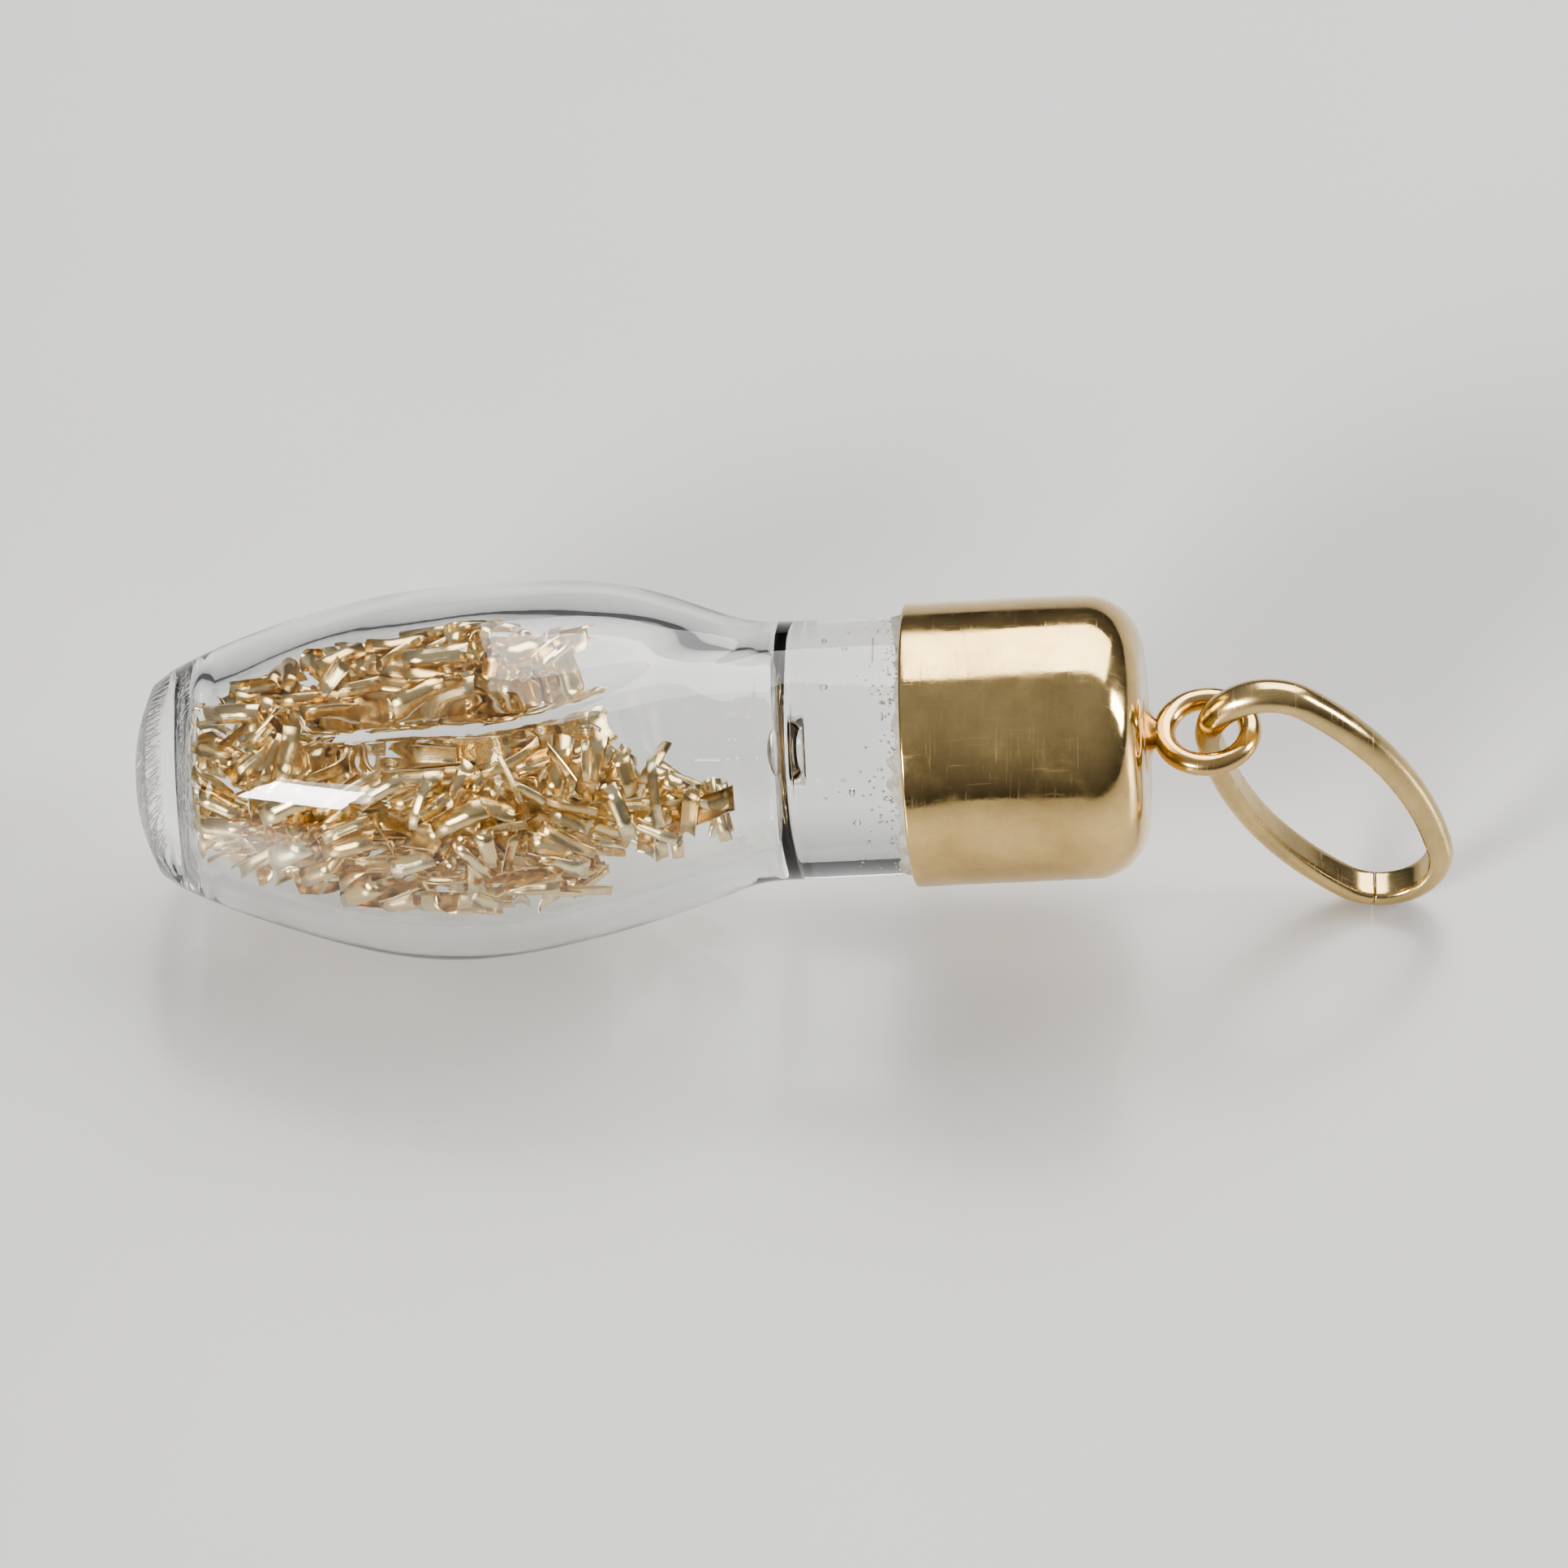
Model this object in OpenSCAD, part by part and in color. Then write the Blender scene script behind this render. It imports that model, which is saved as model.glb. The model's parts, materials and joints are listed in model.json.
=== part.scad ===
// Pendant vial: a sealed glass bulb of gold foil clippings, with a gold cap, an eye and an oval ring.
// It lies as it rests on a table: bulb and ring touch z = 0, and +X runs from the base to the cap.

/* [Glass vial] */
// Largest outer radius of the bulb
bulb_r = 4.77; // [4.5:0.01:5]
// Distance of the widest point from the base
bulb_at = 9.2; // [8.5:0.1:10]
// Radius of the bulb's long outer curve
bulb_curve = 19.05; // [17:0.05:22]
// Radius of the neck
neck_r = 3.4; // [3.2:0.01:3.45]
// Radius of the hollow curve between bulb and neck
shoulder_curve = 4; // [2:0.5:5]
// Distance of the neck's end from the base
neck_end = 25.2; // [24:0.1:25.6]
// Radius of the ground flat in the middle of the base
foot_r = 1.3; // [1:0.1:1.6]
// Radius of the domed base around the flat
base_curve = 5.4; // [4.5:0.1:7]
// Distance at which the domed base meets the bulb
base_edge = 0.95; // [0.7:0.05:1.2]

/* [Cavity] */
// Thickness of the bulb's wall
wall = 0.82; // [0.7:0.02:1]
// Distance of the cavity's floor from the base
cavity_floor = 1.4; // [1.2:0.1:1.8]
// Radius of the cavity's rounded floor edge
floor_edge = 0.8; // [0.5:0.1:1]
// Distance at which the cavity starts to close towards the neck
close_start = 16.1; // [15.5:0.1:16.2]
// Distance at which the cavity reaches the filling bore
close_end = 17.4; // [17.2:0.1:18]
// Radius of the filling bore
bore_r = 0.66; // [0.6:0.01:0.8]
// Distance that the plug's nose stands out of the bore into the cavity
nose_out = 0.7; // [0.3:0.05:0.8]

/* [Cap and plug] */
// Outer radius of the cap
cap_r = 3.75; // [3.7:0.01:3.9]
// Wall of the cap
cap_wall = 0.22; // [0.15:0.01:0.25]
// Distance of the cap's mouth from the base
cap_mouth = 20.4; // [20:0.1:21]
// Distance of the cap's closed end from the base
cap_end = 26.6; // [26.2:0.1:27]
// Outer corner radius of the cap's closed end
cap_corner = 1.5; // [1:0.1:2]
// Gap between the clear plug and its bore
plug_gap = 0.03; // [0.02:0.01:0.05]

/* [Eye and ring] */
// Radius of the eye's wire
eye_wire_r = 0.3; // [0.25:0.01:0.32]
// Radius of the eye to the middle of its wire
eye_r = 1.13; // [1.1:0.01:1.2]
// Half length of the oval ring, to the middle of its wire
ring_half_length = 4.5; // [4.3:0.05:4.7]
// Half width of the oval ring, to the middle of its wire
ring_half_width = 2.125; // [2:0.025:2.3]
// Radius of the ring's two ends, to the middle of its wire
ring_end_r = 1.6; // [1.4:0.05:1.7]
// Thickness of the ring's wire, from inside to outside
ring_thickness = 0.65; // [0.55:0.01:0.7]
// Radius of the round side of the ring's wire
ring_round_r = 0.47; // [0.42:0.01:0.5]
// Width of the butt seam in the ring
seam_gap = 0.05; // [0.03:0.01:0.1]

/* [Foil clippings] */
// Length of a clipping
clip_length = 1.35; // [1.1:0.05:1.4]
// Outer radius of a curled clipping
clip_r = 0.3; // [0.2:0.01:0.32]
// Thickness of the foil
foil = 0.04; // [0.03:0.01:0.06]
// Distance between clippings across the vial
clip_pitch = 1; // [1:0.02:1.1]
// Distance between layers of clippings along the vial
layer_pitch = 1.6; // [1.6:0.05:1.8]

/* [Resting pose] */
// Rise of the vial's axis towards the cap, in degrees
rise = 5.8; // [5:0.1:7]

/* [Hidden] */
$fn = 64;
tiny = 0.01;

// Bulb and neck outline, where the bulb's curve and the shoulder's curve meet without a corner
bulb_middle = [bulb_at, bulb_r - bulb_curve];
shoulder_drop = neck_r + shoulder_curve - bulb_middle[1];
shoulder_reach = sqrt(pow(bulb_curve + shoulder_curve, 2) - pow(shoulder_drop, 2));
shoulder_middle = [bulb_at + shoulder_reach, neck_r + shoulder_curve];
shoulder_angle = atan2(shoulder_reach, shoulder_drop);
edge_angle = asin((bulb_at - base_edge) / bulb_curve);
edge_r = bulb_middle[1] + bulb_curve * cos(edge_angle);

// Lowest point of the leaning bulb decides how high the base's middle lies
base_z = bulb_curve + bulb_middle[1] * cos(rise) - bulb_at * sin(rise);

// Eye, and the oval ring that stands on its far end
eye_at = cap_end + eye_r + eye_wire_r + 0.17;
eye_z = base_z + eye_at * sin(rise);
end_offset = ring_half_length - ring_end_r;
ring_half = ring_thickness / 2;
ring_lean = asin((eye_z - ring_end_r - ring_half) / (2 * end_offset));
side_r = (pow(end_offset, 2) + pow(ring_half_width, 2) - pow(ring_end_r, 2))
  / (2 * (ring_half_width - ring_end_r));
side_angle = atan2(end_offset, side_r - ring_half_width);
side_drop = side_r - ring_half_width;
flat_angle = acos((ring_round_r - ring_thickness) / ring_round_r);
wire_sides = 11;
ring_steps = 72;
seam_at = -38;

// The whole pendant is centred on X = 0
eye_x_from_base = eye_at * cos(rise);
pivot_from_base = eye_x_from_base + ring_end_r;
x_low = -foot_r * sin(rise);
x_high = pivot_from_base + 2 * end_offset * cos(ring_lean) + ring_end_r + ring_half;
base_x = -(x_low + x_high) / 2;
pivot = [base_x + pivot_from_base, 0, eye_z];

// Clippings stand in rings round the axis, in layers along it
first_layer = cavity_floor + 0.95;
clearance = 0.06;

function arc(middle, r, from, to, steps) =
  [for (i = [0:steps]) let(t = from + (to - from) * i / steps) middle + r * [sin(t), cos(t)]];

// Radius of the cavity: one even wall inside the bulb, then a rounded end down to the bore
function wide_radius(u) =
  bulb_middle[1] + sqrt(pow(bulb_curve - wall, 2) - pow(u - bulb_at, 2));
function closing(u) = min(1, max(0, (u - close_start) / (close_end - close_start)));
function cavity_radius(u) =
  let(wide = wide_radius(min(u, close_start))) bore_r + (wide - bore_r) * sqrt(1 - pow(closing(u), 2));

// Puts what is drawn round +Z onto the vial's leaning axis, with the base's middle at the start
module along_vial() {
  translate([base_x, 0, base_z]) rotate([0, 90 - rise, 0]) children();
}

// Turns an outline given as [distance along the axis, radius]
module turned(outline) {
  rotate_extrude() polygon([for (p = outline) [p[1], p[0]]]);
}

module cavity() {
  floor_middle = [cavity_floor + floor_edge, cavity_radius(cavity_floor + floor_edge) - floor_edge];
  floor_arc = arc(floor_middle, floor_edge, -90, 0, 8);
  wide = [for (u = [cavity_floor + floor_edge + 0.7:0.7:close_start - 0.3]) [u, cavity_radius(u)]];
  closed = [for (i = [0:10]) let(u = close_start + (close_end - close_start) * sin(9 * i))
    [u, cavity_radius(u)]];
  turned(concat([[cavity_floor, 0]], floor_arc, wide, closed,
    [[neck_end + tiny, bore_r], [neck_end + tiny, 0]]));
}

module glass_vial() {
  dome_angle = asin(foot_r / base_curve);
  dome_middle = [base_curve * cos(dome_angle), 0];
  rim_angle = asin(min(1, (edge_r - 0.35) / base_curve));
  dome = arc(dome_middle, base_curve, dome_angle - 90, rim_angle - 90, 8);
  bulb = arc(bulb_middle, bulb_curve, -edge_angle, shoulder_angle, 40);
  shoulder = arc(shoulder_middle, shoulder_curve, 180 + shoulder_angle, 180, 8);
  lip = arc([neck_end - 0.4, neck_r - 0.4], 0.4, 0, 90, 6);
  color("azure", 0.35) along_vial() difference() {
    turned(concat([[0, 0]], dome, bulb, shoulder, lip, [[neck_end, 0]]));
    cavity();
  }
}

module clear_plug() {
  plug_r = bore_r - plug_gap;
  nose = arc([close_end - nose_out + plug_r, 0], plug_r, -90, 0, 12);
  color("lightcyan", 0.6) along_vial()
    turned(concat(nose, [[neck_end, plug_r], [neck_end, 0]]));
}

module neck_cement() {
  film_in = neck_r + tiny;
  film_out = cap_r - cap_wall - tiny;
  bead = arc([cap_mouth - tiny, film_in], 0.24, -90, 0, 8);
  color("gainsboro") along_vial()
    turned(concat(bead, [[cap_mouth - tiny, film_out], [cap_mouth + 4, film_out], [cap_mouth + 4, film_in]]));
}

module cap() {
  lip_r = 0.09;
  outer_corner = arc([cap_end - cap_corner, cap_r - cap_corner], cap_corner, 0, 90, 16);
  inner_corner = arc([cap_end - cap_corner, cap_r - cap_corner], cap_corner - cap_wall, 90, 0, 16);
  lip = arc([cap_mouth + lip_r, cap_r - lip_r], lip_r, -90, 0, 6);
  color("goldenrod") along_vial()
    turned(concat([[cap_end - cap_wall, 0]], inner_corner,
      [[cap_mouth, cap_r - cap_wall]], lip, outer_corner, [[cap_end, 0]]));
}

module eye() {
  color("gold") along_vial() union() {
    translate([0, 0, eye_at]) rotate([90, 0, 0]) rotate([0, 90, 0])
      rotate_extrude() translate([eye_r, 0]) circle(r = eye_wire_r);
    translate([0, 0, cap_end]) cylinder(r = eye_wire_r, h = 0.4);
  }
}

module eye_solder() {
  waist = eye_wire_r + 0.02;
  flare = arc([cap_end + 0.42, waist + 0.4], 0.4, 270, 180, 8);
  color("khaki") along_vial() difference() {
    turned(concat([[cap_end + 0.005, waist - 0.1], [cap_end + 0.005, waist + 0.4]], flare,
      [[cap_end + 0.42, waist - 0.1]]));
    translate([0, 0, cap_end - 1]) cylinder(r = eye_wire_r + 0.005, h = 3);
    translate([0, 0, eye_at]) rotate([90, 0, 0]) rotate([0, 90, 0])
      rotate_extrude() translate([eye_r, 0]) circle(r = eye_wire_r + 0.005);
  }
}

// Middle and radius of the oval's arc whose outward direction is phi
function ring_middle(phi) =
  abs(cos(phi)) > sin(side_angle) ? [sign(cos(phi)) * end_offset, 0] : [0, -sign(sin(phi)) * side_drop];
function ring_reach(phi) = abs(cos(phi)) > sin(side_angle) ? ring_end_r : side_r;

// Flat on the inside of the ring, round on the outside: [out from the wire's middle, sideways]
wire_outline = [for (i = [0:wire_sides - 1])
  let(t = flat_angle * (2 * i / (wire_sides - 1) - 1))
  [ring_half - ring_round_r + ring_round_r * cos(t), ring_round_r * sin(t)]];

function ring_station(phi) =
  let(out = [cos(phi), sin(phi)], middle = ring_middle(phi), reach = ring_reach(phi))
  [for (w = wire_outline) let(p = middle + (reach + w[0]) * out) [p[0], p[1], w[1]]];

// One open sweep of the wire from one face of the butt seam round to the other
module ring_sweep() {
  gap_angle = seam_gap / (ring_end_r + ring_half) * 180 / PI;
  last = ring_steps * wire_sides;
  stations = [for (i = [0:ring_steps])
    ring_station(seam_at + gap_angle / 2 + (360 - gap_angle) * i / ring_steps)];
  sides = [for (i = [0:ring_steps - 1]) for (j = [0:wire_sides - 1])
    let(a = i * wire_sides + j, b = i * wire_sides + (j + 1) % wire_sides)
    [a, a + wire_sides, b + wire_sides, b]];
  start_face = [for (j = [0:wire_sides - 1]) j];
  end_face = [for (j = [wire_sides - 1:-1:0]) last + j];
  polyhedron([for (s = stations) each s], concat(sides, [start_face, end_face]));
}

module jump_ring() {
  color("darkgoldenrod") translate(pivot) rotate([0, ring_lean, 0]) translate([end_offset, 0, 0])
    rotate([90, 0, 0]) ring_sweep();
}

// A strip of foil that has curled round along its length
module clipping(length, open) {
  rotate([0, 0, open / 2]) rotate_extrude(angle = 360 - open)
    translate([clip_r - foil, -length / 2]) square([foil, length]);
}

// One layer across the cavity, turned and jittered by its own seed
module clipping_layer(number, from_side) {
  u = first_layer + number * layer_pitch;
  room = min(cavity_radius(u - clip_length / 2), cavity_radius(u + clip_length / 2)) - clearance;
  turn = rands(0, 60, 1, 17 + number)[0];
  for (ring = [0:3]) {
    count = ring == 0 ? 1 : 6 * ring;
    reach = ring * clip_pitch;
    draws = rands(0, 1, 4 * count, 101 + 7 * number + ring);
    for (i = [0:count - 1]) {
      angle = turn + 360 * i / count;
      x = reach * cos(angle);
      if (reach + clip_pitch / 2 < room && x >= from_side) {
        translate([x, reach * sin(angle), u])
          rotate([16 * draws[4 * i] - 8, 16 * draws[4 * i + 1] - 8, 360 * draws[4 * i + 2]])
            clipping(clip_length * (0.8 + 0.2 * draws[4 * i + 3]), 70 + 80 * draws[4 * i + 3]);
      }
    }
  }
}

module clippings(layers, from_side) {
  color("palegoldenrod") along_vial()
    for (number = layers) clipping_layer(number, from_side);
}

// The pile is deep at the base and thins out along the underside towards the neck
module base_clippings() { clippings([0, 1], -4); }
module lower_clippings() { clippings([2], -4); }
module middle_clippings() { clippings([3], -4); }
module upper_clippings() { clippings([4], -4); }
module shoulder_clippings() { clippings([5, 6], -1); }
module neck_clippings() { clippings([7, 8], 0.5); }

glass_vial();
clear_plug();
neck_cement();
cap();
eye();
eye_solder();
jump_ring();
base_clippings();
lower_clippings();
middle_clippings();
upper_clippings();
shoulder_clippings();
neck_clippings();
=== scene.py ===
import json
import math

import bpy
import numpy as np
from mathutils import Matrix, Vector


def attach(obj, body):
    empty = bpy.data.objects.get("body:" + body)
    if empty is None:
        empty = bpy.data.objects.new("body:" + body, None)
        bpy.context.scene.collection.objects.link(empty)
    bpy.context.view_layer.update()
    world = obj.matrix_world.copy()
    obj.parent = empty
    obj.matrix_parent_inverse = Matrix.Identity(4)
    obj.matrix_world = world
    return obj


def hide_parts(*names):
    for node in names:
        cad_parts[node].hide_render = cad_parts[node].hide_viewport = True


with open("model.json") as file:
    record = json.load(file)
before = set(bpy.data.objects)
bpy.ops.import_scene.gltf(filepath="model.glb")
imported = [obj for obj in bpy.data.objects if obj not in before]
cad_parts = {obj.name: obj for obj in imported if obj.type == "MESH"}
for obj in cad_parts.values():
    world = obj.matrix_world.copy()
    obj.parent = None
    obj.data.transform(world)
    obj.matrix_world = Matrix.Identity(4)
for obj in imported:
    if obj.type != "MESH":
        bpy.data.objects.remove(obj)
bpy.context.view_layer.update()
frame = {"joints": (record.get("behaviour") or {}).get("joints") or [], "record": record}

MM = 0.001

# ---------------------------------------------------------------- the frame's own places
JOINTS = {j["name"]: j for j in frame["joints"]}
MOUNTS = {m["name"]: m for m in frame["record"]["mounts"]}
BASE = Vector(MOUNTS["base_flat"]["pos_m"])
AXIS = Vector(JOINTS["foil_tumble"]["axis"]).normalized()
SIDE = Vector((0, 1, 0))
DOWN = SIDE.cross(AXIS)
PIVOT = Vector(JOINTS["ring_swing"]["pos_m"])

# From the vial's own millimetres (down, sideways, along) to the CAD frame in metres
VIAL = Matrix((
    (DOWN.x * MM, SIDE.x * MM, AXIS.x * MM, BASE.x),
    (DOWN.y * MM, SIDE.y * MM, AXIS.y * MM, BASE.y),
    (DOWN.z * MM, SIDE.z * MM, AXIS.z * MM, BASE.z),
    (0, 0, 0, 1),
))

# ---------------------------------------------------------------- sizes in millimetres, as in the CAD
BULB_R, BULB_AT, BULB_CURVE = 4.77, 9.2, 19.05
NECK_R, SHOULDER_CURVE, NECK_START, NECK_END = 3.4, 4.0, 17.6, 25.2
FOOT_R, BASE_CURVE, BASE_EDGE = 1.3, 5.4, 0.95
WALL, CAVITY_FLOOR, FLOOR_EDGE = 0.82, 1.4, 0.8
CLOSE_START, CLOSE_END, BORE_R, NOSE_OUT = 16.1, 17.4, 0.66, 0.7
CAP_R, CAP_WALL, CAP_MOUTH, CAP_END, CAP_CORNER = 3.75, 0.22, 20.4, 26.6, 1.5
EYE_WIRE_R, EYE_R = 0.3, 1.13
EYE_AT = CAP_END + EYE_R + EYE_WIRE_R + 0.17
RING_LENGTH, RING_WIDTH, RING_END_R = 4.5, 2.125, 1.6
RING_THICKNESS, RING_ROUND_R, SEAM_GAP = 0.65, 0.47, 0.05
# Place of the ring's butt seam, in degrees
SEAM_AT = -38

# ---------------------------------------------------------------- departures from the CAD, in millimetres
FOLD_DEPTH = 0.17
# How square the cavity's end is. The CAD's half ellipse is 2. This one narrows a dark reflection there.
END_SHARPNESS = 6.0
# Each swelling of the bulb: height, start of its quarter turn in degrees, place along, length
SWELLINGS = ((0.42, -90, 7.6, 4.2), (0.22, 90, 13.0, 2.4))
# The cavity follows this share of each swelling
INNER_SHARE = 0.7
BUBBLES, CRUMBS = 9, 420
SOLDER_HEIGHT, SOLDER_R, SOLDER_FLARE = 0.55, 0.24, 0.78

# ---------------------------------------------------------------- view, in degrees, millimetres and metres
VIEW_ELEVATION, VIEW_AZIMUTH = 50.0, 1.5
AIM_ALONG, AIM_BELOW = 17.07, 0.87
CAMERA_DISTANCE, CAMERA_LENS = 0.235, 205
FLOOR_HALF, FLOOR_DROP = 0.9, 0.00002


def smooth_step(x, low, high):
    t = np.clip((x - low) / (high - low), 0, 1)
    return t * t * (3 - 2 * t)


def arc(middle, r, start, end, steps):
    """Points [along, out] on an arc, where 0 degrees points outward and 90 towards the cap."""
    turns = np.radians(np.linspace(start, end, steps + 1))
    return [(middle[0] + r * math.sin(t), middle[1] + r * math.cos(t)) for t in turns]


def ripple(points, size, seed):
    """Smooth random waves of about 1, for points in millimetres; size is the wave's length."""
    rng = np.random.RandomState(seed)
    total = np.zeros(len(points))
    for _ in range(7):
        way = rng.normal(size=3)
        way *= rng.uniform(0.7, 1.4) * 2 * math.pi / size / np.linalg.norm(way)
        total += np.sin(points @ way + rng.uniform(0, 2 * math.pi))
    return total / 3.5


# ---------------------------------------------------------------- mesh helpers
def new_piece(name, verts, faces, body, replaced, material, place=VIAL):
    mesh = bpy.data.meshes.new(name)
    mesh.from_pydata([tuple(v) for v in verts], [], facing_out(verts, faces))
    mesh.transform(place)
    mesh.validate()
    mesh.polygons.foreach_set("use_smooth", [True] * len(mesh.polygons))
    mesh.materials.append(material)
    piece = bpy.data.objects.new(name, mesh)
    bpy.context.scene.collection.objects.link(piece)
    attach(piece, body)
    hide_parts(replaced)
    return piece


def turned(outline, segments):
    """An outline turned about the vial's axis, where ends on the axis close to a point."""
    angles = np.linspace(0, 2 * math.pi, segments, endpoint=False)
    verts, faces, rows = [], [], []
    for along, out in outline:
        if out < 1e-6:
            rows.append([len(verts)] * segments)
            verts.append((0, 0, along))
        else:
            rows.append(list(range(len(verts), len(verts) + segments)))
            verts += [(out * math.cos(t), out * math.sin(t), along) for t in angles]
    closed = outline[0][1] > 1e-6
    pairs = list(zip(rows, rows[1:])) + ([(rows[-1], rows[0])] if closed else [])
    for low, high in pairs:
        for i in range(segments):
            j = (i + 1) % segments
            corners = [low[i], low[j], high[j], high[i]]
            faces.append([c for k, c in enumerate(corners) if c != corners[k - 1]])
    return np.array(verts, float), faces


def joined(parts):
    """One array of vertices and one list of faces from several (vertices, faces) pairs."""
    verts, faces, start = [], [], 0
    for part_verts, part_faces in parts:
        verts.append(part_verts)
        faces += [[start + c for c in face] for face in part_faces]
        start += len(part_verts)
    return np.vstack(verts), faces


def facing_out(verts, faces):
    """The faces, all turned over if they enclose a negative volume."""
    corners = np.array([(f[0], j, k) for f in faces for j, k in zip(f[1:], f[2:])])
    a, b, c = (np.asarray(verts)[corners[:, i]] for i in range(3))
    volume = np.einsum("ij,ij->i", a, np.cross(b, c)).sum()
    return faces if volume > 0 else [f[::-1] for f in faces]


def write_values(piece, name, values):
    layer = piece.data.attributes.new(name, "FLOAT", "POINT")
    layer.data.foreach_set("value", np.asarray(values, np.float32))


# ---------------------------------------------------------------- material helpers
class Nodes:
    """A short way to build one material's node tree. Lengths inside it are in millimetres."""

    def __init__(self, name):
        self.material = bpy.data.materials.new(name)
        self.material.use_nodes = True
        self.tree = self.material.node_tree
        self.tree.nodes.clear()
        self.out = self.add("ShaderNodeOutputMaterial")
        self.shader = self.add("ShaderNodeBsdfPrincipled")
        self.plug(self.shader.outputs["BSDF"], self.out, "Surface")
        coordinates = self.add("ShaderNodeTexCoord")
        scaled = self.add("ShaderNodeVectorMath", operation="SCALE")
        scaled.inputs["Scale"].default_value = 1 / MM
        self.plug(coordinates.outputs["Object"], scaled, 0)
        self.place = scaled.outputs[0]

    def add(self, kind, **settings):
        node = self.tree.nodes.new(kind)
        for key, value in settings.items():
            setattr(node, key, value)
        return node

    def plug(self, source, node, socket):
        self.tree.links.new(source, node.inputs[socket])

    def noise(self, size, detail=3.0, rough=0.5, stretch=None, turn=None):
        """Noise whose features are about size millimetres, stretched along some axes if asked."""
        where = self.place
        if stretch or turn:
            mapping = self.add("ShaderNodeMapping")
            mapping.inputs["Scale"].default_value = stretch or (1, 1, 1)
            mapping.inputs["Rotation"].default_value = [math.radians(t) for t in (turn or (0, 0, 0))]
            self.plug(where, mapping, "Vector")
            where = mapping.outputs[0]
        noise = self.add("ShaderNodeTexNoise")
        noise.inputs["Scale"].default_value = 1 / size
        noise.inputs["Detail"].default_value = detail
        noise.inputs["Roughness"].default_value = rough
        self.plug(where, noise, "Vector")
        return noise.outputs["Fac"]

    def ramp(self, source, stops):
        """Maps a value through (position, value or colour) stops."""
        ramp = self.add("ShaderNodeValToRGB")
        elements = ramp.color_ramp.elements
        while len(elements) < len(stops):
            elements.new(0.5)
        for element, (position, value) in zip(elements, stops):
            element.position = position
            element.color = (*value, 1) if isinstance(value, tuple) else (value, value, value, 1)
        self.plug(source, ramp, "Fac")
        return ramp.outputs["Color"]

    def mix(self, factor, a, b):
        mix = self.add("ShaderNodeMix", data_type="RGBA")
        for socket, value in ((0, factor), (6, a), (7, b)):
            if isinstance(value, bpy.types.NodeSocket):
                self.plug(value, mix, socket)
            elif socket == 0:
                mix.inputs[0].default_value = value
            else:
                mix.inputs[socket].default_value = (*value, 1)
        return mix.outputs[2]

    def maths(self, operation, a, b=0.5):
        node = self.add("ShaderNodeMath", operation=operation)
        for socket, value in enumerate((a, b)):
            if isinstance(value, bpy.types.NodeSocket):
                self.plug(value, node, socket)
            else:
                node.inputs[socket].default_value = value
        return node.outputs[0]

    def attribute(self, name):
        return self.add("ShaderNodeAttribute", attribute_name=name).outputs["Fac"]

    def bump(self, height, depth, strength=1.0, normal=None):
        """A bump of depth millimetres."""
        bump = self.add("ShaderNodeBump")
        bump.inputs["Distance"].default_value = depth * MM
        bump.inputs["Strength"].default_value = strength
        self.plug(height, bump, "Height")
        if normal is not None:
            self.plug(normal, bump, "Normal")
        return bump.outputs[0]


def let_light_through(nodes, tint):
    """Lamps shine straight through the glass, so it makes no caustics as real glass would."""
    path = nodes.add("ShaderNodeLightPath")
    clear = nodes.add("ShaderNodeBsdfTransparent")
    clear.inputs["Color"].default_value = (*tint, 1)
    mix = nodes.add("ShaderNodeMixShader")
    nodes.plug(path.outputs["Is Shadow Ray"], mix, 0)
    nodes.plug(nodes.shader.outputs[0], mix, 1)
    nodes.plug(clear.outputs[0], mix, 2)
    nodes.plug(mix.outputs[0], nodes.out, "Surface")


def glass_material():
    nodes = Nodes("clear_glass")
    shader = nodes.shader
    shader.inputs["Base Color"].default_value = (0.985, 0.992, 0.99, 1)
    shader.inputs["Transmission Weight"].default_value = 1.0
    shader.inputs["IOR"].default_value = 1.5
    ground = nodes.attribute("ground")
    smear = nodes.ramp(nodes.noise(1.6, 4.0, 0.6), [(0.45, 0.0), (0.8, 0.045)])
    scratch_noise = nodes.noise(0.9, 3.0, 0.6, (1, 9, 1), (32, 0, 0))
    scratches = nodes.ramp(scratch_noise, [(0.42, 0.0), (0.6, 1.0)])
    ground_rough = nodes.mix(scratches, (0.03, 0.03, 0.03), (0.2, 0.2, 0.2))
    nodes.plug(nodes.mix(ground, smear, ground_rough), shader, "Roughness")
    dust = nodes.bump(nodes.noise(0.7, 3.0, 0.5), 0.004, 0.5)
    lines = nodes.maths("MULTIPLY", scratches, ground)
    nodes.plug(nodes.bump(lines, 0.11, 1.0, dust), shader, "Normal")
    let_light_through(nodes, (0.96, 0.97, 0.96))
    return nodes.material


def plug_material():
    nodes = Nodes("clear_plug")
    shader = nodes.shader
    shader.inputs["Base Color"].default_value = (0.97, 0.98, 0.98, 1)
    shader.inputs["Transmission Weight"].default_value = 1.0
    shader.inputs["IOR"].default_value = 1.48
    haze = nodes.ramp(nodes.noise(0.8), [(0.4, 0.0), (0.8, 0.08)])
    nodes.plug(haze, shader, "Roughness")
    nodes.plug(nodes.bump(nodes.noise(0.5), 0.006), shader, "Normal")
    let_light_through(nodes, (0.95, 0.96, 0.96))
    return nodes.material


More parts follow.
